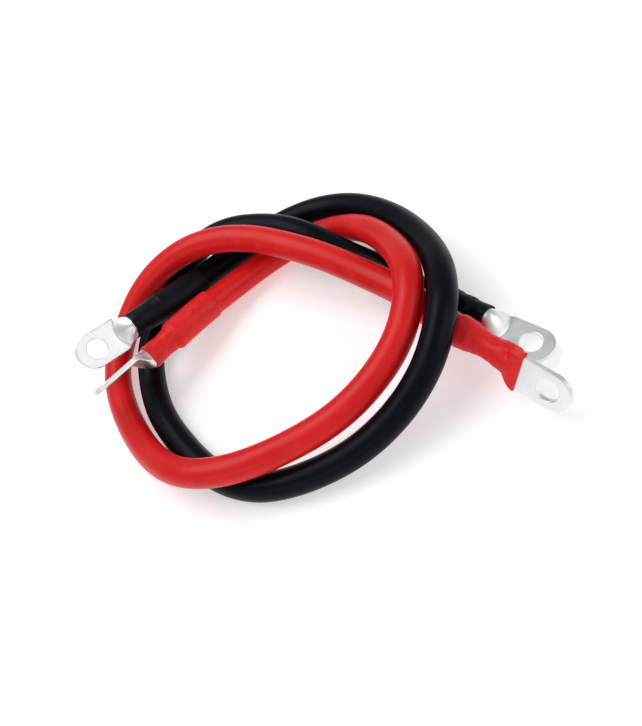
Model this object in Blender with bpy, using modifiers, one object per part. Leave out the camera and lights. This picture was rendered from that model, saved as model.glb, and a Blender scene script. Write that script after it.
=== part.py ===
"""A pair of battery-to-inverter leads: two flexible copper leads, one red and one black, laid in a loose
knotted loop. Each lead has a stranded conductor in a jacket, a tinned ring lug at both ends, and a
heat-shrink sleeve over each crimp. Units are metres, +Z is up, and the loop lies on the plane z = 0."""

import math

import bmesh
import bpy
import numpy as np
from mathutils import Matrix, Vector

MM = 0.001
GAP = 0.3 * MM  # what touching pieces keep between them

# Lead: a 25 square millimetre flexible cable.
JACKET_RADIUS = 5.6 * MM
JACKET_WALL = 1.8 * MM
SPAN_SAMPLES = 40  # how finely a route is measured between two of its points
STATION_STEP = 12 * MM  # distance between two points of a tube
TUBE_SIDES = 12
WELD = 0.01 * MM

# Conductor: seven bunches of fine wire, six of them laid round the seventh.
BUNCHES_AROUND = 6
BUNCH_RADIUS = 1.0 * MM
BUNCH_SIDES = 6
LAY_RADIUS = 2 * BUNCH_RADIUS + GAP
LAY_LENGTH = 120 * MM  # one full turn of the outer bunches
BUNCH_IN_BARREL = 10 * MM

# Ring lug for an M8 stud, from the open end of its barrel (x = 0) to its tip.
BARREL_RADIUS = 4.5 * MM
BARREL_BORE = 3.65 * MM
BORE_SIDES = 16
BARREL_LENGTH = 14.5 * MM
BORE_DEPTH = 12.5 * MM
PALM_START = 22 * MM
THROAT_STATIONS = np.linspace(BARREL_LENGTH, PALM_START, 7)
PALM_LENGTH = 19 * MM
PALM_HALF_WIDTH = 7.4 * MM
PALM_THICKNESS = 2.0 * MM
PALM_EDGE = 0.35 * MM
TIP_ANGLES = (0, 15, 30, 45, 60, 73, 82)  # degrees round the palm's rounded end, from its side
STUD_HOLE_RADIUS = 4.2 * MM
STUD_HOLE_SIDES = 24
HOLE_TO_TIP = 8.8 * MM
BARREL_TO_JACKET = 0.5 * MM

# Heat-shrink sleeve: it is wide where it covers the jacket and narrow on the barrel.
SLEEVE_WALL = 0.5 * MM
SLEEVE_ON_JACKET = 6.4 * MM  # outer radius
SLEEVE_EDGE = 0.7 * MM  # corner of the sleeve where it covers a flat part of the lug
SHOULDER = 2.5 * MM  # where the sleeve narrows from the jacket to the barrel

# Each route runs along the middle of a lead from one jacket end to the other, in millimetres. The
# point ROUTE_BASE of the routes' space, below the middle of the whole object, becomes the origin.
ROUTE_BASE = (1.29, 0.61, -0.09)
RED_ROUTE = [
    (-53.7, 3.9, 16.4), (-47, 13.5, 13.7), (-37.4, 25.6, 9.6), (-25, 38, 6.5), (-8, 48, 5.7),
    (11.3, 49.6, 7.9), (28, 38.9, 15), (39.4, 22.3, 21.5), (46.2, 1.6, 27.2), (42.8, -17.8, 24.4), (31.5, -33, 19.5),
    (16, -45.5, 17), (-2, -54, 16.2), (-21, -60, 17.3), (-41, -59, 16.2), (-57.5, -49.5, 11.8),
    (-71, -35, 8), (-81.5, -18.5, 6), (-87.5, 0.5, 5.8), (-85.4, 18.6, 7.6), (-75.4, 31.8, 14.2),
    (-59.5, 40.1, 20.7), (-42.6, 42.9, 23.9), (-23.8, 41.2, 23.6), (-5, 33, 23.3), (13.2, 23.8, 20.3),
    (29.4, 13.8, 16.4), (43.6, 2.4, 15.2), (54.2, -10.1, 15.8), (65, -19.5, 14.2),
]
BLACK_ROUTE = [
    (-61.2, 18.8, 17.7), (-53.7, 27.4, 14), (-44.8, 40.4, 8.9), (-32, 52.3, 5.8), (-14.6, 61.6, 5.7),
    (5, 64.3, 6.8), (22.8, 57.8, 9.5), (38.2, 44.6, 12.8), (49.9, 26.4, 18.1), (57, 6.1, 24.6),
    (57.7, -14.1, 27.6), (51, -31.5, 21.8), (38, -45, 14), (21.5, -55, 8.6), (2.7, -61.5, 6.4),
    (-17, -63, 5.7), (-35.5, -55.5, 5.7), (-50, -42, 5.7), (-62, -26, 5.7), (-69.5, -7.5, 5.7),
    (-72, 12, 5.7), (-67, 31.5, 5.8), (-57, 47.8, 10.4), (-38.2, 53.7, 16.5), (-19, 51.2, 17.8),
    (-0.7, 43.6, 16.8), (17, 33.8, 9.5), (33, 23.2, 6.4), (46.6, 10.4, 6.4), (58.6, 0.8, 6.7),
]

# At each end: the side that the lug's raised throat points to, how far the palm is bent towards that
# side, in degrees, and how much of the jacket and of the lug the sleeve covers.
ENDS = {
    "red_left": {"dome": (0.45, -0.51, -0.73), "bend": 0, "on_jacket": 21 * MM, "on_lug": 15 * MM},
    "red_right": {"dome": (0.42, 0.81, -0.41), "bend": 0, "on_jacket": 6 * MM, "on_lug": 21.4 * MM},
    "black_left": {"dome": (0.66, -0.39, 0.64), "bend": -2, "on_jacket": 21 * MM, "on_lug": 16 * MM},
    "black_right": {"dome": (0.05, 0.08, 0.99), "bend": 0, "on_jacket": 8 * MM, "on_lug": 14.6 * MM},
}


def new_collection(name):
    collection = bpy.data.collections.new(name)
    bpy.context.scene.collection.children.link(collection)
    return collection


def principled(name, colour, roughness, metallic=0.0):
    material = bpy.data.materials.new(name)
    material.use_nodes = True
    shader = material.node_tree.nodes["Principled BSDF"]
    shader.inputs["Base Color"].default_value = (*colour, 1)
    shader.inputs["Roughness"].default_value = roughness
    shader.inputs["Metallic"].default_value = metallic
    return material


def smooth_route(route):
    """Evenly spaced points, in metres, on the natural cubic curve through the route's own points."""
    knots = (np.array(route) - ROUTE_BASE) * MM
    step = np.linalg.norm(np.diff(knots, axis=0), axis=1)
    count = len(knots)
    matrix = np.eye(count)
    right_side = np.zeros((count, 3))
    for i in range(1, count - 1):
        matrix[i, i - 1 : i + 2] = step[i - 1], 2 * (step[i - 1] + step[i]), step[i]
        slope_change = (knots[i + 1] - knots[i]) / step[i] - (knots[i] - knots[i - 1]) / step[i - 1]
        right_side[i] = 6 * slope_change
    second = np.linalg.solve(matrix, right_side)
    fine = [knots[0]]
    for i, length in enumerate(step):
        for part in np.linspace(0, 1, SPAN_SAMPLES + 1)[1:]:
            before, after = (1 - part) * length, part * length
            curved = (second[i] * before**3 + second[i + 1] * after**3) / (6 * length)
            straight_before = (knots[i] / length - second[i] * length / 6) * before
            straight_after = (knots[i + 1] / length - second[i + 1] * length / 6) * after
            fine.append(curved + straight_before + straight_after)
    fine = np.array(fine)
    along = np.concatenate([[0], np.cumsum(np.linalg.norm(np.diff(fine, axis=0), axis=1))])
    stations = np.linspace(0, along[-1], round(along[-1] / STATION_STEP) + 1)
    return [Vector([np.interp(s, along, fine[:, axis]) for axis in range(3)]) for s in stations]


def tube_mesh(name, path, radii, sides, filled=True):
    """The mesh of a curve object along the path: its caps, where it has them, are welded on."""
    curve = bpy.data.curves.new(name, "CURVE")
    curve.dimensions = "3D"
    curve.bevel_depth = 1
    curve.bevel_resolution = sides // 2 - 2
    curve.use_fill_caps = filled
    spline = curve.splines.new("POLY")
    spline.points.add(len(path) - 1)
    for point, place, radius in zip(spline.points, path, radii):
        point.co = (*place, 1)
        point.radius = radius
    tube = bpy.data.objects.new(name, curve)
    bpy.context.scene.collection.objects.link(tube)
    graph = bpy.context.evaluated_depsgraph_get()
    mesh = bpy.data.meshes.new_from_object(tube.evaluated_get(graph))
    bpy.data.objects.remove(tube)
    bpy.data.curves.remove(curve)
    mesh.name = name
    edit = bmesh.new()
    edit.from_mesh(mesh)
    bmesh.ops.remove_doubles(edit, verts=edit.verts, dist=WELD)
    bmesh.ops.recalc_face_normals(edit, faces=edit.faces)
    edit.to_mesh(mesh)
    edit.free()
    return mesh


def add_piece(name, mesh, material, collection, sharp_angle=40):
    mesh.shade_smooth()
    mesh.set_sharp_from_angle(angle=math.radians(sharp_angle))
    piece = bpy.data.objects.new(name, mesh)
    piece.data.materials.clear()
    piece.data.materials.append(material)
    collection.objects.link(piece)
    return piece


def thicken_inwards(piece, wall):
    solidify = piece.modifiers.new("wall", "SOLIDIFY")
    solidify.thickness = wall
    solidify.offset = -1
    solidify.use_even_offset = True


def add_jacket(name, path, material, collection):
    mesh = tube_mesh(name, path, [JACKET_RADIUS] * len(path), TUBE_SIDES, filled=False)
    jacket = add_piece(name, mesh, material, collection)
    thicken_inwards(jacket, JACKET_WALL)


def bunch_path(path, number):
    """The path of one bunch of wires, turning round the lead's path as it goes along."""
    ends = [path[0] - path[1], path[-1] - path[-2]]
    reach = BUNCH_IN_BARREL + BARREL_TO_JACKET
    middle = [path[0] + reach * ends[0].normalized(), *path, path[-1] + reach * ends[1].normalized()]
    side = Vector((0, 0, 1))
    travelled = 0.0
    points = []
    for i, place in enumerate(middle):
        before = middle[max(i - 1, 0)]
        after = middle[min(i + 1, len(middle) - 1)]
        tangent = ((after - place).normalized() + (place - before).normalized()).normalized()
        side = (side - side.dot(tangent) * tangent).normalized()
        travelled += (place - before).length
        angle = math.tau * (travelled / LAY_LENGTH + number / BUNCHES_AROUND)
        points.append(place + LAY_RADIUS * (Matrix.Rotation(angle, 3, tangent) @ side))
    return points if number else middle


def add_conductor(colour, path, material, collection):
    for number in range(BUNCHES_AROUND + 1):
        name = f"{colour}_wire_bunch_{number}" if number else f"{colour}_wire_bunch_core"
        points = bunch_path(path, number)
        mesh = tube_mesh(name, points, [BUNCH_RADIUS] * len(points), BUNCH_SIDES)
        add_piece(name, mesh, material, collection, sharp_angle=70)


def bend_palm(place, angle):
    """Turns a point of the lug beyond the throat about the palm's root, towards the dome."""
    root = Vector((PALM_START, 0, -BARREL_RADIUS + PALM_THICKNESS / 2))
    if place.x <= root.x:
        return place
    return root + Matrix.Rotation(-angle, 3, "Y") @ (place - root)


def throat_section(x, skin):
    """(half width, bottom, top, flatness) at x of the lug, or of a layer that lies on it.

    The underside is level with the barrel's. The top drops from the barrel's to the palm's.
    """
    length = PALM_START - BARREL_LENGTH
    part = min(max((x - BARREL_LENGTH) / length, 0), 1)
    eased = part * part * (3 - 2 * part)
    drop = 2 * BARREL_RADIUS - PALM_THICKNESS
    slope = drop / length * 6 * part * (1 - part)
    half_width = BARREL_RADIUS + eased * (PALM_HALF_WIDTH - BARREL_RADIUS) + skin
    top = BARREL_RADIUS - eased * drop + skin * math.hypot(1, slope)
    return half_width, -BARREL_RADIUS - skin, top, eased


def section_ring(half_width, bottom, top, flatness, edge):
    """(y, z) of the points round one section, which goes from a circle to a bar with cut corners."""
    middle, half_height = (top + bottom) / 2, (top - bottom) / 2
    across = half_width - edge
    fractions = (-1, -0.5, 0, 0.5, 1)
    bar = [(across * f, bottom) for f in fractions]
    bar += [(half_width, bottom + edge), (half_width, top - edge)]
    bar += [(-across * f, top) for f in fractions]
    bar += [(-half_width, top - edge), (-half_width, bottom + edge)]
    ring = []
    for i, (y, z) in enumerate(bar):
        angle = math.tau * (i - 2) / len(bar) - math.pi / 2
        round_y, round_z = half_width * math.cos(angle), middle + half_height * math.sin(angle)
        ring.append((round_y + flatness * (y - round_y), round_z + flatness * (z - round_z)))
    return ring


def loft_mesh(name, rings, capped):
    """A skin over rings of points that run the same way round."""
    edit = bmesh.new()
    loops = [[edit.verts.new(place) for place in ring] for ring in rings]
    for loop, following in zip(loops, loops[1:]):
        for i in range(len(loop)):
            j = (i + 1) % len(loop)
            edit.faces.new((loop[i], loop[j], following[j], following[i]))
    if capped:
        edit.faces.new(loops[0])
        edit.faces.new(loops[-1])
    bmesh.ops.recalc_face_normals(edit, faces=edit.faces)
    mesh = bpy.data.meshes.new(name)
    edit.to_mesh(mesh)
    edit.free()
    return mesh


def lug_rings(bend):
    """The lug's sections, in its own space, from the barrel's mouth to the palm's tip."""
    sections = [(x, *throat_section(x, skin=0)) for x in (0, *THROAT_STATIONS)]
    tip_middle = PALM_START + PALM_LENGTH - PALM_HALF_WIDTH
    palm_top = -BARREL_RADIUS + PALM_THICKNESS
    for angle in TIP_ANGLES:
        reach = math.radians(angle)
        x = tip_middle + PALM_HALF_WIDTH * math.sin(reach)
        sections.append((x, PALM_HALF_WIDTH * math.cos(reach), -BARREL_RADIUS, palm_top, 1))
    rings = []
    for x, *section in sections:
        ring = section_ring(*section, PALM_EDGE)
        rings.append([bend_palm(Vector((x, y, z)), bend) for y, z in ring])
    return rings


def add_cutter(lug, name, radius, depth, sides, matrix, cutters):
    edit = bmesh.new()
    bmesh.ops.create_cone(
        edit, cap_ends=True, segments=sides, radius1=radius, radius2=radius, depth=depth, matrix=matrix
    )
    mesh = bpy.data.meshes.new(name)
    edit.to_mesh(mesh)
    edit.free()
    cutter = bpy.data.objects.new(name, mesh)
    cutter.hide_render = True
    cutter.display_type = "WIRE"
    cutter.parent = lug
    cutters.objects.link(cutter)
    boolean = lug.modifiers.new(name, "BOOLEAN")
    boolean.operation = "DIFFERENCE"
    boolean.object = cutter


def frame_at(place, axis, up):
    """The matrix that puts x along the axis and z on the side of up."""
    up = (up - up.dot(axis) * axis).normalized()
    return Matrix.Translation(place) @ Matrix((axis, up.cross(axis), up)).transposed().to_4x4()


def add_lug(end, frame, bend, material, collection, cutters):
    name = f"{end}_ring_lug"
    lug = add_piece(name, loft_mesh(name, lug_rings(bend), capped=True), material, collection, 35)
    lug.matrix_world = frame
    along = Matrix.Rotation(math.pi / 2, 4, "Y")
    bore_place = Matrix.Translation(((BORE_DEPTH - GAP) / 2, 0, 0)) @ along
    add_cutter(lug, f"{end}_bore_cutter", BARREL_BORE, BORE_DEPTH + GAP, BORE_SIDES, bore_place, cutters)
    hole = Vector((PALM_START + PALM_LENGTH - HOLE_TO_TIP, 0, -BARREL_RADIUS + PALM_THICKNESS / 2))
    hole_place = Matrix.Translation(bend_palm(hole, bend)) @ Matrix.Rotation(-bend, 4, "Y")
    depth = 3 * PALM_THICKNESS
    add_cutter(lug, f"{end}_stud_cutter", STUD_HOLE_RADIUS, depth, STUD_HOLE_SIDES, hole_place, cutters)


def jacket_stretch(path, length):
    """The first points of the path, as far as the given length, and the direction at each."""
    stretch = [(path[0], (path[0] - path[1]).normalized())]
    for i in range(1, len(path) - 1):
        step = path[i] - path[i - 1]
        if length <= step.length:
            stretch.append((path[i - 1] + length * step.normalized(), -step.normalized()))
            break
        onward = path[i + 1] - path[i]
        stretch.append((path[i], -(step.normalized() + onward.normalized()).normalized()))
        length -= step.length
    return stretch


def add_sleeve(end, path, frame, dome, facts, material, collection):
    """The sleeve follows the jacket's own points, then the lug: barrel, throat and, on one end, palm."""
    name = f"{end}_shrink_sleeve"
    wide = section_ring(SLEEVE_ON_JACKET, -SLEEVE_ON_JACKET, SLEEVE_ON_JACKET, 0, SLEEVE_EDGE)
    rings = []
    for place, axis in reversed(jacket_stretch(path, facts["on_jacket"])):
        section_frame = frame_at(place, axis, dome)
        rings.append([section_frame @ Vector((0, y, z)) for y, z in wide])
    bend = math.radians(facts["bend"])
    covered = [x for x in (SHOULDER, *THROAT_STATIONS) if x < facts["on_lug"]]
    for x in (*covered, facts["on_lug"]):
        ring = section_ring(*throat_section(x, GAP + SLEEVE_WALL), SLEEVE_EDGE)
        rings.append([frame @ bend_palm(Vector((x, y, z)), bend) for y, z in ring])
    sleeve = add_piece(name, loft_mesh(name, rings, capped=False), material, collection)
    thicken_inwards(sleeve, SLEEVE_WALL)


def add_lead(colour, route, jacket_material, sleeve_material, copper, tin, collection, cutters):
    path = smooth_route(route)
    add_jacket(f"{colour}_jacket", path, jacket_material, collection)
    add_conductor(colour, path, copper, collection)
    for side, end_path in (("left", path), ("right", path[::-1])):
        end = f"{colour}_{side}"
        facts = ENDS[end]
        dome = Vector(facts["dome"])
        axis = (end_path[0] - end_path[1]).normalized()
        frame = frame_at(end_path[0] + BARREL_TO_JACKET * axis, axis, dome)
        add_lug(end, frame, math.radians(facts["bend"]), tin, collection, cutters)
        add_sleeve(end, end_path, frame, dome, facts, sleeve_material, collection)


def main():
    for thing in list(bpy.data.objects):
        bpy.data.objects.remove(thing)
    leads = new_collection("battery_leads")
    cutters = new_collection("cutters")
    cutters.hide_render = True
    copper = principled("bare_copper", (0.72, 0.33, 0.18), 0.35, 1)
    tin = principled("tin_plate", (0.80, 0.81, 0.82), 0.22, 1)
    red = principled("red_jacket_pvc", (0.78, 0.02, 0.02), 0.35)
    red_sleeve = principled("red_shrink_sleeve", (0.80, 0.03, 0.03), 0.42)
    black = principled("black_jacket_pvc", (0.010, 0.012, 0.018), 0.35)
    black_sleeve = principled("black_shrink_sleeve", (0.012, 0.013, 0.017), 0.42)
    add_lead("red", RED_ROUTE, red, red_sleeve, copper, tin, leads, cutters)
    add_lead("black", BLACK_ROUTE, black, black_sleeve, copper, tin, leads, cutters)


main()
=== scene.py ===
"""A pair of battery leads: fine jackets, ring lugs and heat-shrink sleeves over the CAD frame."""

import math

import bmesh
import bpy
import numpy as np
from mathutils import Matrix, Vector, noise


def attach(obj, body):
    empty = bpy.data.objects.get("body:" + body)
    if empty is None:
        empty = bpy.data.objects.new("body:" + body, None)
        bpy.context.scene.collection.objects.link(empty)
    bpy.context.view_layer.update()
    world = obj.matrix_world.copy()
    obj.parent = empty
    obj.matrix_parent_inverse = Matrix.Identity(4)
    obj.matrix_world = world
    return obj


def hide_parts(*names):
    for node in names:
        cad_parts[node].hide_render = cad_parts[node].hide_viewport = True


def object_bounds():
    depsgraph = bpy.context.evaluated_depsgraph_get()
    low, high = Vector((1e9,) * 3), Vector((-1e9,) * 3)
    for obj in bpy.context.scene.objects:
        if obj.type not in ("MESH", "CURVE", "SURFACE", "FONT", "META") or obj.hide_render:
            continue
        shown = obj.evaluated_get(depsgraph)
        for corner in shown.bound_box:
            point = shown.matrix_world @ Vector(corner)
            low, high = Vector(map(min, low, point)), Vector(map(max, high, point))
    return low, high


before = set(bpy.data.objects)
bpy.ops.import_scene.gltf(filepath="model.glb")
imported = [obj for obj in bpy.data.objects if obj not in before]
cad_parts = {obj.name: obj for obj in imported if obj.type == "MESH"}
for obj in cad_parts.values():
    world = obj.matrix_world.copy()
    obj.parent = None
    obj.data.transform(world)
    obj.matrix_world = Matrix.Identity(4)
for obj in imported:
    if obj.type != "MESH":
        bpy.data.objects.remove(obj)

MM = 0.001
WELD = 0.001 * MM
CAD_BOX = [list(corner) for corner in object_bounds()]

# The camera, in millimetres and degrees: from where it stands it looks at TARGET, rolled to the left.
CAMERA_PLACE = (91.77, -165.88, 236.51)
CAMERA_TARGET = (2.71, -11.61, 0.09)
CAMERA_ROLL = -34
CAMERA_LENS = 37.2

# Each route runs along the middle of a lead from one jacket end to the other, in millimetres. The
# point ROUTE_BASE of the routes' space, below the middle of the whole object, is the origin.
ROUTE_BASE = (1.29, 0.61, -0.09)
ROUTES = {
    "red": [
        (-53.7, 3.9, 16.4), (-47, 13.5, 13.7), (-37.4, 25.6, 9.6), (-25, 38, 6.5), (-8, 48, 5.7),
        (11.3, 49.6, 7.9), (28, 38.9, 15), (39.4, 22.3, 21.5), (46.2, 1.6, 27.2), (42.8, -17.8, 24.4),
        (31.5, -33, 19.5), (16, -45.5, 17), (-2, -54, 16.2), (-21, -60, 17.3), (-41, -59, 16.2),
        (-57.5, -49.5, 11.8), (-71, -35, 8), (-81.5, -18.5, 6), (-87.5, 0.5, 5.8), (-85.4, 18.6, 7.6),
        (-75.4, 31.8, 14.2), (-59.5, 40.1, 20.7), (-42.6, 42.9, 23.9), (-23.8, 41.2, 23.6), (-5, 33, 23.3),
        (13.2, 23.8, 20.3), (29.4, 13.8, 16.4), (43.6, 2.4, 15.2), (54.2, -10.1, 15.8), (65, -19.5, 14.2),
    ],
    "black": [
        (-61.2, 18.8, 17.7), (-53.7, 27.4, 14), (-44.8, 40.4, 8.9), (-32, 52.3, 5.8), (-14.6, 61.6, 5.7),
        (5, 64.3, 6.8), (22.8, 57.8, 9.5), (38.2, 44.6, 12.8), (49.9, 26.4, 18.1), (57, 6.1, 24.6),
        (57.7, -14.1, 27.6), (51, -31.5, 21.8), (38, -45, 14), (21.5, -55, 8.6), (2.7, -61.5, 6.4),
        (-17, -63, 5.7), (-35.5, -55.5, 5.7), (-50, -42, 5.7), (-62, -26, 5.7), (-69.5, -7.5, 5.7),
        (-72, 12, 5.7), (-67, 31.5, 5.8), (-57, 47.8, 10.4), (-38.2, 53.7, 16.5), (-19, 51.2, 17.8),
        (-0.7, 43.6, 16.8), (17, 33.8, 9.5), (33, 23.2, 6.4), (46.6, 10.4, 6.4), (58.6, 0.8, 6.7),
    ],
}

# Jacket, in millimetres.
JACKET_RADIUS = 5.6
JACKET_BORE = 3.8
JACKET_SIDES = 40
JACKET_STEP = 1.5
SPAN_SAMPLES = 40
SKIN_DROP = 0.03  # the surface's middle height below the nominal radius
WAVER = 0.05
WAVER_SCALE = 70  # cells per metre
BORE_STRIDE = 4  # the bore has a ring for every fourth ring outside
CHORD = 12  # the lug points along the last stretch of this length of its lead
END_ROUND = 0.3

# Ring lug, in its own space, in millimetres: x runs from the barrel's mouth to the tip, z is the dome's
# side, and the palm's flat underside is level with the barrel's.
BARREL_TO_JACKET = 0.5
BARREL_RADIUS = 4.5
BARREL_BORE = 3.65
BORE_DEPTH = 12.5
THROAT_START = 14.5
THROAT_LENGTH = 7.7
CREASE_BOW = 2.6  # how much further along the dome ends at its middle than at its sides
CREASE_SOFTNESS = 0.5
PALM_START = 22
TIP_MIDDLE = 33.6
PALM_HALF_WIDTH = 7.4
PALM_THICKNESS = 2.0
PALM_EDGE = 0.42
SEAM_DEPTH = 0.14  # the line round the palm's edge between the tube's two flattened walls
SEAM_WIDTH = 0.13
HOLE_MIDDLE = 32.2
HOLE_RADIUS = 4.2
HOLE_EDGE = 0.3

# Down a half section, from 0 to 1: where the flat top ends, and where its rounded edge ends.
FLAT_END = 0.36
CORNER_END = 0.45

SLEEVE_WALL = 0.5
SLEEVE_STEP = 0.4
SLEEVE_EDGE = 0.9

# At each end: the dome's side, the palm's bend in degrees, the depth of the crimp in the barrel, the
# sleeve's outer radius at places along the lug (negative on the jacket), its bumps and dents as
# (place, degrees round from the dome, height, length, degrees wide), and how crumpled it is.
ENDS = {
    "red_left": {
        "dome": (0.45, -0.51, -0.73), "bend": 0, "crimp": 0.4, "crumple": 0.07,
        "sleeve": [
            (-21, 6.25), (-12, 6.3), (-3, 6.25), (0.6, 6.3), (3.4, 5.1),
            (7.5, 4.75), (11.5, 5.0), (15, 5.2),
        ],
        "dents": [
            (1.0, 250, 0.25, 1.4, 40), (4.6, 236, 0.35, 1.6, 14), (7.8, 262, -0.35, 2.2, 20),
            (8.6, 284, 0.3, 2.4, 9), (5.6, 290, -0.25, 2.0, 16), (2.6, 300, -0.25, 1.6, 30),
        ],
    },
    "red_right": {
        "dome": (0.42, 0.81, -0.41), "bend": 0, "crimp": 0.55, "crumple": 0.09,
        "sleeve": [
            (-6, 6.15), (-4.6, 6.1), (-1, 5.75), (2.4, 4.95), (5.6, 4.5),
            (9, 4.65), (12.5, 5.2), (14.5, 5.35), (21.4, 5.3),
        ],
        "dents": [
            (6.2, 238, 0.22, 1.7, 20), (9.6, 222, 0.2, 1.3, 14), (8.2, 262, -0.25, 2.2, 14),
            (15.2, 238, -0.75, 1.6, 20), (17.6, 214, -0.3, 1.6, 18), (12.4, 262, 0.3, 1.8, 22),
            (11.5, 190, -0.3, 2.4, 24), (3.0, 210, -0.15, 2.0, 26),
        ],
    },
    "black_left": {
        "dome": (0.66, -0.39, 0.64), "bend": -2, "crimp": 0.3, "crumple": 0.05,
        "sleeve": [
            (-21, 6.25), (-10, 6.3), (-1.2, 6.3), (1.4, 6.5), (2.3, 6.1),
            (6, 5.7), (12, 5.5), (16, 5.3),
        ],
        "dents": [(7, 20, -0.15, 3, 30), (9.5, 330, 0.15, 2.4, 24)],
    },
    "black_right": {
        "dome": (0.05, 0.08, 0.99), "bend": 0, "crimp": 0.4, "crumple": 0.12,
        "sleeve": [(-8, 6.25), (-3, 6.3), (0.4, 6.2), (3, 5.6), (6.5, 5.75), (9.2, 5.3), (14.6, 5.3)],
        "dents": [
            (-3.6, 330, 0.5, 1.0, 30), (-0.6, 335, -0.35, 1.3, 28), (1.8, 330, 0.45, 1.1, 26),
            (4.4, 340, -0.3, 1.2, 26), (6.6, 330, 0.35, 1.0, 24), (9.6, 340, -0.15, 1.2, 30),
            (3.2, 20, 0.2, 1.4, 24), (7.4, 30, -0.2, 1.6, 24), (0.6, 40, -0.2, 1.6, 26),
        ],
    },
}


def ease(part):
    part = np.clip(part, 0, 1)
    return part * part * (3 - 2 * part)


def through(knots, place):
    """A value that passes smoothly through the knots, each a pair of place and value."""
    places = [knot[0] for knot in knots]
    i = int(np.clip(np.searchsorted(places, place) - 1, 0, len(knots) - 2))
    (start, low), (end, high) = knots[i], knots[i + 1]
    return low + (high - low) * float(ease((place - start) / (end - start)))


# Camera, light and floor


def look_at(thing, place, target, roll=0):
    place, target = Vector(place) * MM, Vector(target) * MM
    turn = (target - place).to_track_quat("-Z", "Y").to_matrix().to_4x4()
    thing.matrix_world = Matrix.Translation(place) @ turn @ Matrix.Rotation(math.radians(roll), 4, "Z")


def add_camera():
    camera = bpy.data.objects.new("camera", bpy.data.cameras.new("camera"))
    camera.data.lens = CAMERA_LENS
    camera.data.clip_start = 0.01
    look_at(camera, CAMERA_PLACE, CAMERA_TARGET, CAMERA_ROLL)
    bpy.context.scene.collection.objects.link(camera)
    bpy.context.scene.camera = camera


def add_softbox(name, place, target, width, height, radiance):
    """A rectangular light of the given radiance, sized and placed in millimetres."""
    light = bpy.data.lights.new(name, "AREA")
    light.shape = "RECTANGLE"
    light.size, light.size_y = width * MM, height * MM
    light.energy = radiance * math.pi * light.size * light.size_y
    lamp = bpy.data.objects.new(name, light)
    lamp.visible_camera = False
    look_at(lamp, place, target)
    bpy.context.scene.collection.objects.link(lamp)


def add_studio():
    world = bpy.data.worlds.new("studio")
    world.use_nodes = True
    backdrop = world.node_tree.nodes["Background"]
    backdrop.inputs["Color"].default_value = (0.93, 0.96, 1, 1)
    backdrop.inputs["Strength"].default_value = 0.42
    bpy.context.scene.world = world
    bpy.context.scene.view_settings.view_transform = "Standard"
    add_softbox("key", (-260, 120, 620), (0, 0, 0), 620, 420, 3.0)
    add_softbox("right_fill", (780, -150, 430), (0, 0, 10), 700, 560, 1.3)
    add_softbox("front_fill", (-160, -720, 330), (0, 0, 0), 620, 300, 1.0)
    edit = bmesh.new()
    bmesh.ops.create_grid(edit, x_segments=1, y_segments=1, size=3)
    mesh = bpy.data.meshes.new("floor")
    edit.to_mesh(mesh)
    edit.free()
    floor = bpy.data.objects.new("floor", mesh)
    floor.location.z = CAD_BOX[0][2] - 0.1 * MM
    paper = bpy.data.materials.new("paper")
    paper.use_nodes = True
    shader = paper.node_tree.nodes["Principled BSDF"]
    shader.inputs["Base Color"].default_value = (0.80, 0.80, 0.80, 1)
    shader.inputs["Roughness"].default_value = 0.9
    shader.inputs["Specular IOR Level"].default_value = 0.1
    shader.inputs["Emission Color"].default_value = (1, 1, 1, 1)
    shader.inputs["Emission Strength"].default_value = 0.42
    mesh.materials.append(paper)
    bpy.context.scene.collection.objects.link(floor)


# Routes


def smooth_route(route, step):
    """Evenly spaced points, in metres, on the natural cubic curve through the route's own points."""
    knots = (np.array(route) - ROUTE_BASE) * MM
    reach = np.linalg.norm(np.diff(knots, axis=0), axis=1)
    count = len(knots)
    matrix = np.eye(count)
    right_side = np.zeros((count, 3))
    for i in range(1, count - 1):
        matrix[i, i - 1 : i + 2] = reach[i - 1], 2 * (reach[i - 1] + reach[i]), reach[i]
        slope_change = (knots[i + 1] - knots[i]) / reach[i] - (knots[i] - knots[i - 1]) / reach[i - 1]
        right_side[i] = 6 * slope_change
    second = np.linalg.solve(matrix, right_side)
    fine = [knots[:1]]
    for i, length in enumerate(reach):
        part = np.linspace(0, 1, SPAN_SAMPLES + 1)[1:, None]
        before, after = (1 - part) * length, part * length
        curved = (second[i] * before**3 + second[i + 1] * after**3) / (6 * length)
        straight_before = (knots[i] / length - second[i] * length / 6) * before
        straight_after = (knots[i + 1] / length - second[i + 1] * length / 6) * after
        fine.append(curved + straight_before + straight_after)
    fine = np.concatenate(fine)
    along = np.concatenate([[0], np.cumsum(np.linalg.norm(np.diff(fine, axis=0), axis=1))])
    stations = np.linspace(0, along[-1], round(along[-1] / step) + 1)
    return np.stack([np.interp(stations, along, fine[:, axis]) for axis in range(3)], axis=1)


def carried_frames(path):
    """The direction at each point of the path, and two sides that turn about it as little as they can."""
    tangents = np.gradient(path, axis=0)
    tangents /= np.linalg.norm(tangents, axis=1)[:, None]
    side = np.cross(tangents[0], (0, 0, 1))
    sides = []
    for tangent in tangents:
        side = side - side @ tangent * tangent
        side /= np.linalg.norm(side)
        sides.append(side)
    sides = np.array(sides)
    return tangents, sides, np.cross(tangents, sides)


# Meshes


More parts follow.
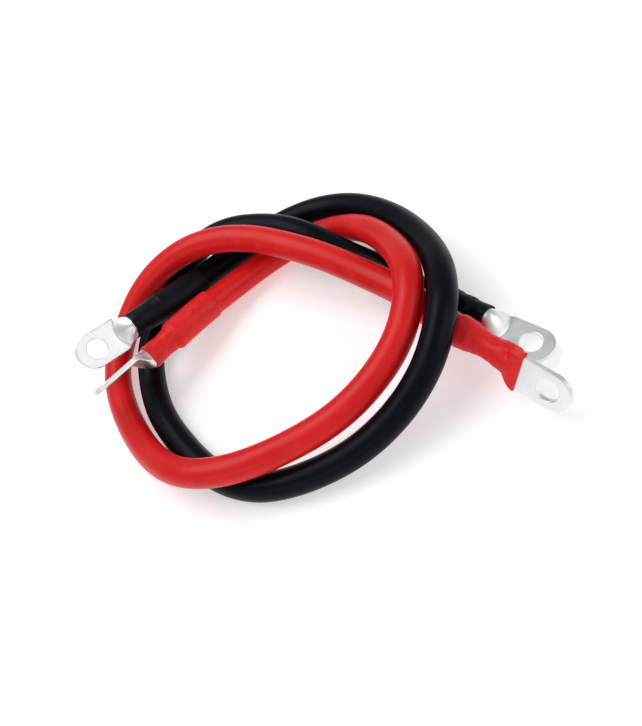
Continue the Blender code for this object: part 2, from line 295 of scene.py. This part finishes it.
def skin(name, rings, around_is_closed=True, along_is_closed=False, around=1, along=None):
    """A mesh over rows of points. Its map "run" holds metres around and along."""
    rings = np.asarray(rings, float)
    rows, columns = rings.shape[:2]
    last_row = rows if along_is_closed else rows - 1
    last_column = columns if around_is_closed else columns - 1
    i, j = np.meshgrid(np.arange(last_row), np.arange(last_column), indexing="ij")
    i, j = i.ravel(), j.ravel()
    across, onward = (j + 1) % columns, (i + 1) % rows
    here, ahead = i * columns, onward * columns
    corners = np.stack([here + j, here + across, ahead + across, ahead + j], axis=1)
    mesh = bpy.data.meshes.new(name)
    mesh.from_pydata(rings.reshape(-1, 3), [], corners.tolist())
    along = np.arange(rows + 1) * MM if along is None else np.append(along, along[0])
    u = np.stack([j, j + 1, j + 1, j], axis=1) / columns * around
    v = np.stack([along[i], along[i], along[i + 1], along[i + 1]], axis=1)
    layer = mesh.uv_layers.new(name="run")
    layer.data.foreach_set("uv", np.stack([u, v], axis=2).astype(np.float32).ravel())
    return mesh


def weld(mesh):
    """Joins the points that lie on each other, and turns every face outwards."""
    edit = bmesh.new()
    edit.from_mesh(mesh)
    bmesh.ops.remove_doubles(edit, verts=edit.verts, dist=WELD)
    bmesh.ops.recalc_face_normals(edit, faces=edit.faces)
    edit.to_mesh(mesh)
    edit.free()


def add_piece(mesh, material, nodes, sharp_angle=180):
    """Turns the mesh into a piece that stands for the CAD nodes."""
    weld(mesh)
    mesh.shade_smooth()
    if sharp_angle < 180:
        mesh.set_sharp_from_angle(angle=math.radians(sharp_angle))
    piece = bpy.data.objects.new(mesh.name, mesh)
    mesh.materials.append(material)
    bpy.context.scene.collection.objects.link(piece)
    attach(piece, "root")
    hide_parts(*nodes)
    return piece


def add_jacket(colour, path, material):
    """A tube with rounded ends, whose surface wavers by a few hundredths of a millimetre."""
    tangents, sides, ups = carried_frames(path)
    turn = np.linspace(0, math.tau, JACKET_SIDES, endpoint=False)
    directions = np.cos(turn)[None, :, None] * sides[:, None] + np.sin(turn)[None, :, None] * ups[:, None]
    wander = np.array([
        [noise.noise(Vector(middle + d * JACKET_RADIUS * MM) * WAVER_SCALE) for d in around]
        for middle, around in zip(path, directions)
    ])
    outer = path[:, None] + directions * ((JACKET_RADIUS - SKIN_DROP + WAVER * wander)[..., None] * MM)
    shoulder_start = path[0] + directions[0] * ((JACKET_RADIUS - END_ROUND) * MM) - tangents[0] * 0.1 * MM
    shoulder_end = path[-1] + directions[-1] * ((JACKET_RADIUS - END_ROUND) * MM) + tangents[-1] * 0.1 * MM
    inner = (path[:, None] + directions * (JACKET_BORE * MM))[::-BORE_STRIDE]
    if (len(path) - 1) % BORE_STRIDE:
        inner = np.concatenate([inner, (path[:1, None] + directions[:1] * (JACKET_BORE * MM))])
    rings = np.concatenate([shoulder_start[None], outer, shoulder_end[None], inner])
    along = np.concatenate([
        [0], np.arange(len(outer) + 1) * JACKET_STEP * MM, np.linspace(1, 0, len(inner)),
    ])
    mesh = skin(
        f"{colour}_jacket_tube", rings, along_is_closed=True,
        around=math.tau * JACKET_RADIUS * MM, along=along,
    )
    return add_piece(mesh, material, [f"{colour}_jacket"])


def bend_palm(points, degrees):
    """Turns the points beyond the throat about the palm's root, towards the dome."""
    angle = math.radians(degrees)
    root_z = -BARREL_RADIUS + PALM_THICKNESS / 2
    x, z = points[..., 0] - PALM_START, points[..., 2] - root_z
    bent = points.copy()
    beyond = x > 0
    bent[..., 0] = np.where(beyond, PALM_START + x * math.cos(angle) - z * math.sin(angle), points[..., 0])
    bent[..., 2] = np.where(beyond, root_z + x * math.sin(angle) + z * math.cos(angle), points[..., 2])
    return bent


def half_section(x, layer, spread, edge, seam=0):
    """(y, z) down one side of the lug at x, or of a layer on it, from the middle of its top to the middle
    of its underside. spread says how far down each point is, from 0 to 1."""
    turn = math.pi * spread
    bow = CREASE_BOW * np.sin(turn) ** 2
    part = np.clip((x - THROAT_START + bow) / THROAT_LENGTH, 0, None)
    widening = ease((x - THROAT_START) / (PALM_START - THROAT_START))
    flatness = ease(part)
    width = BARREL_RADIUS + widening * (PALM_HALF_WIDTH - BARREL_RADIUS) + layer
    drop = 2 * BARREL_RADIUS - PALM_THICKNESS
    rise = drop * np.where(part < 1, np.cos(np.clip(part, 0, 1) * math.pi / 2), (1 - part) * math.pi / 2)
    rise = (rise + np.sqrt(rise**2 + CREASE_SOFTNESS**2)) / 2
    rise = np.where(part <= 0, drop, np.minimum(rise, drop))
    steepest = drop / THROAT_LENGTH * math.pi / 2
    falling = (part > 0) & (part < 1)
    slope = np.where(falling, steepest * np.sin(np.clip(part, 0, 1) * math.pi / 2), 0)
    top = -BARREL_RADIUS + PALM_THICKNESS + rise + layer * np.hypot(1, 0.7 * slope)
    bottom = -BARREL_RADIUS - layer
    middle, half_height = (top + bottom) / 2, (top - bottom) / 2
    round_y, round_z = width * np.sin(turn), middle + half_height * np.cos(turn)
    down = np.minimum(spread, 1 - spread)
    over_top = np.clip(down / FLAT_END, 0, 1)
    round_edge = np.clip((down - FLAT_END) / (CORNER_END - FLAT_END), 0, 1) * math.pi / 2
    bar_y = (width - edge) * over_top + edge * np.sin(round_edge)
    level = half_height - edge + edge * np.cos(round_edge)
    down_wall = np.clip((down - CORNER_END) / (0.5 - CORNER_END), 0, 1)
    level = level - down_wall * (half_height - edge)
    bar_z = middle + np.where(spread < 0.5, level, -level)
    bar_y = bar_y - seam * flatness * np.exp(-((bar_z - middle) / SEAM_WIDTH) ** 2) * (down > CORNER_END)
    return round_y + flatness * (bar_y - round_y), round_z + flatness * (bar_z - round_z)


def crimped(x, depth):
    """How far the barrel is pressed in at x."""
    return depth * float(ease((x - 2.5) / 2) * ease((11.5 - x) / 2))


def lug_mesh(name, bend, crimp):
    """Half sections from the bore's bottom out of the mouth, along one side, round the tip and back."""
    spread = np.concatenate([
        np.linspace(0, FLAT_END, 10)[:-1],
        np.linspace(FLAT_END, CORNER_END, 6)[:-1],
        np.linspace(CORNER_END, 1 - CORNER_END, 15),
        np.linspace(1 - CORNER_END, 1 - FLAT_END, 6)[1:],
        np.linspace(1 - FLAT_END, 1, 10)[1:],
    ])
    stations = [(BORE_DEPTH, 0)] + [
        (x, BARREL_BORE - crimped(x, 0.6 * crimp) - round_in) for x, round_in in
        ((BORE_DEPTH, 0.4), (BORE_DEPTH - 0.4, 0), (10, 0), (8, 0), (6, 0), (4, 0), (2, 0), (0.2, 0))
    ]
    stations += [(0, BARREL_BORE + 0.2), (0, BARREL_RADIUS - 0.25), (0.08, BARREL_RADIUS - 0.08)]
    outside = np.concatenate([
        np.arange(0.25, THROAT_START, 0.85), np.arange(THROAT_START, 23.5, 0.25), [25, 28, 31],
    ])
    stations += [(x, BARREL_RADIUS - crimped(x, crimp)) for x in outside]
    side = []
    for x, radius in stations:
        y, z = half_section(x, radius - BARREL_RADIUS, spread, PALM_EDGE, SEAM_DEPTH)
        side.append(np.stack([np.full_like(y, x), y, z], axis=1))
    y, z = half_section(TIP_MIDDLE, 0, spread, PALM_EDGE, SEAM_DEPTH)
    tip = [
        np.stack([TIP_MIDDLE + y * math.sin(angle), y * math.cos(angle), z], axis=1)
        for angle in np.radians(np.arange(0, 180.1, 5))
    ]
    other_side = [rows * (1, -1, 1) for rows in reversed(side)]
    rings = bend_palm(np.array(side + tip + other_side), bend) * MM
    return skin(name, rings, around_is_closed=False)


def hole_cutter(bend):
    """A spool that cuts the stud hole and rounds its two rims."""
    half = PALM_THICKNESS / 2
    corner = np.radians(np.linspace(0, 90, 5))
    profile = [(0, half + 0.6), (HOLE_RADIUS + HOLE_EDGE, half + 0.6)]
    profile += [
        (HOLE_RADIUS + HOLE_EDGE - HOLE_EDGE * math.sin(a), half - HOLE_EDGE + HOLE_EDGE * math.cos(a))
        for a in corner
    ]
    profile += [(radius, -z) for radius, z in reversed(profile)]
    rings = []
    for angle in np.linspace(0, math.tau, 72, endpoint=False):
        rings.append([
            (HOLE_MIDDLE + radius * math.cos(angle), radius * math.sin(angle), z - BARREL_RADIUS + half)
            for radius, z in profile
        ])
    rings = bend_palm(np.array(rings), bend) * MM
    mesh = skin("hole_cutter", rings, around_is_closed=False, along_is_closed=True)
    weld(mesh)
    cutter = bpy.data.objects.new("hole_cutter", mesh)
    bpy.context.scene.collection.objects.link(cutter)
    return cutter


def add_lug(end, place, facts, material):
    piece = add_piece(
        lug_mesh(f"{end}_lug", facts["bend"], facts["crimp"]), material, [f"{end}_ring_lug"]
    )
    cutter = hole_cutter(facts["bend"])
    hole = piece.modifiers.new("hole", "BOOLEAN")
    hole.operation = "DIFFERENCE"
    hole.solver = "EXACT"
    hole.object = cutter
    graph = bpy.context.evaluated_depsgraph_get()
    cut = bpy.data.meshes.new_from_object(piece.evaluated_get(graph))
    piece.modifiers.clear()
    piece.data = cut
    cut.name = piece.name
    bpy.data.objects.remove(cutter)
    cut.transform(place)
    cut.shade_smooth()
    cut.set_sharp_from_angle(angle=math.radians(50))
    weighted = piece.modifiers.new("weighted", "WEIGHTED_NORMAL")
    weighted.keep_sharp = True
    return piece


def frame_at(place, axis, up):
    """The matrix that puts x along the axis and z on the side of up."""
    up = (up - up.dot(axis) * axis).normalized()
    return Matrix.Translation(place) @ Matrix((axis, up.cross(axis), up)).transposed().to_4x4()


def sleeve_layer(x, turn, facts):
    """How far the sleeve's outside stands off the bare barrel at x, at each angle from the dome."""
    layer = np.full(len(turn), through(facts["sleeve"], x) - BARREL_RADIUS)
    for place, degrees, height, length, wide in facts["dents"]:
        away = (np.degrees(turn) - degrees + 180) % 360 - 180
        layer += height * math.exp(-(((x - place) / length) ** 2)) * np.exp(-((away / wide) ** 2))
    tight = float(ease((x + 3) / 4) * ease((18 - x) / 4)) * 0.8 + 0.2
    for i, angle in enumerate(turn):
        spot = Vector((math.cos(angle) * 1.7, math.sin(angle) * 1.7, x * 0.22))
        finer = 0.6 * noise.noise(spot * 2.6 + Vector((7, 3, 1)))
        layer[i] += facts["crumple"] * tight * (noise.noise(spot) + finer)
    return layer


def add_sleeve(end, path, place, facts, material):
    """path starts at the jacket's end, and place is the lug's."""
    dome = Vector(facts["dome"])
    start, finish = facts["sleeve"][0][0], facts["sleeve"][-1][0]
    spread = np.concatenate([
        np.linspace(0, FLAT_END, 15)[:-1],
        np.linspace(FLAT_END, 1 - FLAT_END, 17)[:-1],
        np.linspace(1 - FLAT_END, 1, 15),
    ])
    turn = np.concatenate([math.pi * spread, math.tau - math.pi * spread[-2:0:-1]])
    axis = place.to_3x3().col[0]
    steps = np.arange(len(path)) * JACKET_STEP
    outer, inner = [], []
    for x in np.linspace(start, finish, round((finish - start) / SLEEVE_STEP) + 1):
        back = -x - BARREL_TO_JACKET
        along = Vector([np.interp(max(back, 0), steps, path[:, k]) for k in range(3)])
        ahead = Vector([np.interp(max(back, 0) + 1, steps, path[:, k]) for k in range(3)])
        own_axis = (along - ahead).normalized()
        along += own_axis * min(back, 0) * -MM
        on_lug = float(ease((x + 5) / 5))
        middle = along.lerp(place.translation + axis * x * MM, on_lug)
        section = frame_at(middle, own_axis.lerp(axis, on_lug).normalized(), dome)
        from_end = min(x - start, finish - x)
        lip = 0.14 * max(0.0, 1 - from_end / 0.5) ** 2
        for rings, depth in ((outer, lip), (inner, SLEEVE_WALL)):
            layer = sleeve_layer(x, turn, facts) - depth
            count = len(spread)
            y, z = half_section(x, layer[:count], spread, SLEEVE_EDGE)
            back_layer = np.append(layer[0], layer[:count - 1:-1])[: count - 1]
            back_y, back_z = half_section(x, back_layer, spread[:-1], SLEEVE_EDGE)
            ring_y = np.concatenate([y, -back_y[:0:-1]])
            ring_z = np.concatenate([z, back_z[:0:-1]])
            points = np.stack([np.zeros_like(ring_y), ring_y, ring_z], axis=1)
            points = bend_palm(points + (x, 0, 0), facts["bend"]) - (x, 0, 0)
            rings.append([section @ Vector(point * MM) for point in points])
    rings = np.array(outer + inner[::-1])
    along = np.concatenate([np.arange(len(outer)), np.arange(len(inner))[::-1]]) * SLEEVE_STEP * MM
    mesh = skin(f"{end}_heat_shrink", rings, along_is_closed=True, around=36 * MM, along=along)
    return add_piece(mesh, material, [f"{end}_shrink_sleeve"], 60)


# Materials


def add_node(tree, kind, links=(), **settings):
    """A shader node: links holds (socket, value or another's output), and settings its properties."""
    made = tree.nodes.new(kind)
    for name, value in settings.items():
        setattr(made, name, value)
    for socket, value in links:
        if isinstance(value, bpy.types.NodeSocket):
            tree.links.new(value, made.inputs[socket])
        else:
            made.inputs[socket].default_value = value
    return made


def grain(tree, place, scale, detail=3, stretch=(1, 1, 1)):
    """A noise between 0 and 1, with scale in cells per metre."""
    stretched = add_node(tree, "ShaderNodeMapping", [("Vector", place), ("Scale", stretch)])
    return add_node(
        tree, "ShaderNodeTexNoise", [("Vector", stretched.outputs[0]), ("Scale", scale), ("Detail", detail)]
    ).outputs["Fac"]


def between(tree, value, low, high, to_low=0.0, to_high=1.0):
    """The value's range from low to high, carried to another range and held inside it."""
    return add_node(
        tree, "ShaderNodeMapRange",
        [("Value", value), ("From Min", low), ("From Max", high), ("To Min", to_low), ("To Max", to_high)],
    ).outputs[0]


def blend_colours(tree, factor, first, second):
    mixed = add_node(tree, "ShaderNodeMix", data_type="RGBA")
    for socket, value in (("Factor", factor), ("A", first), ("B", second)):
        sockets = [s for s in mixed.inputs if s.name == socket and s.type in ("RGBA", "VALUE")]
        target = sockets[0] if socket == "Factor" else next(s for s in sockets if s.type == "RGBA")
        if isinstance(value, bpy.types.NodeSocket):
            tree.links.new(value, target)
        else:
            target.default_value = value if isinstance(value, float) else (*value, 1)
    return next(s for s in mixed.outputs if s.type == "RGBA")


def total(tree, *parts):
    """The weighted sum of (value, weight) pairs."""
    result = None
    for value, weight in parts:
        part = add_node(tree, "ShaderNodeMath", [(0, value), (1, weight)], operation="MULTIPLY").outputs[0]
        if result is not None:
            part = add_node(tree, "ShaderNodeMath", [(0, result), (1, part)], operation="ADD").outputs[0]
        result = part
    return result


def new_material(name, metallic=0.0, specular=0.5, coat=0.0, coat_roughness=0.2):
    material = bpy.data.materials.new(name)
    material.use_nodes = True
    tree = material.node_tree
    shader = tree.nodes["Principled BSDF"]
    shader.inputs["Metallic"].default_value = metallic
    shader.inputs["Specular IOR Level"].default_value = specular
    shader.inputs["Coat Weight"].default_value = coat
    shader.inputs["Coat Roughness"].default_value = coat_roughness
    places = tree.nodes.new("ShaderNodeTexCoord").outputs["Object"]
    run = add_node(tree, "ShaderNodeUVMap", uv_map="run").outputs[0]
    return material, tree, shader, places, run


def finish_material(tree, shader, colour, roughness, height, strength):
    tree.links.new(colour, shader.inputs["Base Color"])
    tree.links.new(roughness, shader.inputs["Roughness"])
    bump = add_node(
        tree, "ShaderNodeBump", [("Height", height), ("Strength", strength), ("Distance", 0.1 * MM)]
    )
    tree.links.new(bump.outputs[0], shader.inputs["Normal"])


def jacket_material(name, deep, usual, pale, specular):
    """Extruded soft PVC: a faint mottle, fine die lines along the lead, and dull rubbed spots."""
    material, tree, shader, places, run = new_material(name, specular=specular)
    mottle = grain(tree, places, 45, 4)
    rubbed = between(tree, grain(tree, places, 160, 6), 0.56, 0.72)
    die_lines = grain(tree, run, 1, 2, (1900, 14, 1))
    peel = grain(tree, places, 1500, 2)
    colour = blend_colours(tree, between(tree, mottle, 0.3, 0.7), deep, usual)
    colour = blend_colours(tree, total(tree, (rubbed, 0.35)), colour, pale)
    dullness = between(tree, mottle, 0.3, 0.7, 0.29, 0.37)
    roughness = total(tree, (dullness, 1), (rubbed, 0.10), (die_lines, 0.05))
    finish_material(tree, shader, colour, roughness, total(tree, (peel, 0.35), (die_lines, 0.3)), 0.22)
    return material


def sleeve_material(name, deep, usual, pale, specular):
    """Shrunk polyolefin: duller than the jacket, with fine creases along it and a scuffed surface."""
    material, tree, shader, places, run = new_material(name, specular=specular)
    mottle = grain(tree, places, 110, 5)
    creases = grain(tree, run, 1, 4, (520, 60, 1))
    pores = grain(tree, places, 2400, 2)
    scuffs = between(tree, grain(tree, places, 330, 7), 0.55, 0.7)
    colour = blend_colours(tree, between(tree, mottle, 0.3, 0.7), deep, usual)
    colour = blend_colours(tree, total(tree, (scuffs, 0.3)), colour, pale)
    roughness = total(tree, (between(tree, mottle, 0.3, 0.7, 0.38, 0.5), 1), (scuffs, 0.12))
    height = total(tree, (creases, 0.8), (pores, 0.2), (scuffs, 0.1))
    finish_material(tree, shader, colour, roughness, height, 0.35)
    return material


def tin_material():
    """Tinned copper: satin, with clouding, fine rolling lines, small scratches and pits."""
    material, tree, shader, places, _ = new_material("tinned_copper", metallic=1.0)
    clouds = grain(tree, places, 130, 5)
    rolling = grain(tree, places, 1, 3, (420, 2600, 2600))
    scratch_lines = grain(tree, places, 1, 2, (180, 3800, 900))
    scratches = between(tree, scratch_lines, 0.66, 0.72)
    pits = between(tree, grain(tree, places, 1700, 2), 0.68, 0.76)
    cloudy = between(tree, clouds, 0.3, 0.7)
    colour = blend_colours(tree, cloudy, (0.80, 0.815, 0.83), (0.92, 0.925, 0.93))
    colour = blend_colours(tree, total(tree, (pits, 0.4)), colour, (0.52, 0.50, 0.48))
    dullness = between(tree, clouds, 0.3, 0.7, 0.33, 0.44)
    roughness = total(tree, (dullness, 1), (scratches, 0.12), (pits, 0.15))
    height = total(tree, (rolling, 0.35), (clouds, 0.5), (scratches, -0.35), (pits, -0.5))
    finish_material(tree, shader, colour, roughness, height, 0.18)
    return material


def copper_material():
    """Bunched fine copper wire: the strand bands give its relief, and in its colour they paint shade in the
    gaps between the wires.
    """
    material, tree, shader, places, _ = new_material("copper_wires", metallic=1.0)
    strand_relief_and_gap_shade = add_node(
        tree, "ShaderNodeTexWave", [("Vector", places), ("Scale", 900), ("Distortion", 2.0), ("Detail", 2)],
        bands_direction="DIAGONAL",
    ).outputs["Fac"]
    tarnish = grain(tree, places, 240, 5)
    # The darker colour in the gaps between the wires is painted shade; the same bands also raise the
    # strands in the bump.
    colour = blend_colours(tree, strand_relief_and_gap_shade, (0.35, 0.13, 0.06), (0.80, 0.40, 0.24))
    tarnished = total(tree, (between(tree, tarnish, 0.5, 0.7), 0.5))
    colour = blend_colours(tree, tarnished, colour, (0.42, 0.19, 0.10))
    roughness = between(tree, tarnish, 0.3, 0.7, 0.24, 0.45)
    finish_material(tree, shader, colour, roughness, strand_relief_and_gap_shade, 0.6)
    return material


def main():
    add_camera()
    paths = {colour: smooth_route(route, JACKET_STEP * MM) for colour, route in ROUTES.items()}
    jackets = {
        "red": jacket_material(
            "red_jacket", (0.66, 0.006, 0.007), (0.78, 0.010, 0.011), (0.84, 0.035, 0.035), 0.26
        ),
        "black": jacket_material(
            "black_jacket", (0.0012, 0.0018, 0.0050), (0.0020, 0.0028, 0.0070),
            (0.0050, 0.0065, 0.0120), 0.10,
        ),
    }
    sleeves = {
        "red": sleeve_material(
            "red_shrink", (0.70, 0.009, 0.010), (0.82, 0.015, 0.017), (0.86, 0.06, 0.06), 0.26
        ),
        "black": sleeve_material(
            "black_shrink", (0.0012, 0.0022, 0.0052), (0.0022, 0.0034, 0.0072),
            (0.0070, 0.0095, 0.0140), 0.15,
        ),
    }
    tin, copper = tin_material(), copper_material()
    for colour, path in paths.items():
        jacket = add_jacket(colour, path, jackets[colour])
        for side, from_end in (("left", path), ("right", path[::-1])):
            end = f"{colour}_{side}"
            facts = ENDS[end]
            first = Vector(from_end[0])
            axis = (first - Vector(from_end[round(CHORD / JACKET_STEP)])).normalized()
            place = frame_at(first + BARREL_TO_JACKET * MM * axis, axis, Vector(facts["dome"]))
            add_lug(end, place, facts, tin)
            add_sleeve(end, from_end, place, facts, sleeves[colour])
    for name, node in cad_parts.items():
        if "wire_bunch" in name:
            for slot in node.material_slots:
                slot.material = copper
    add_studio()


main()
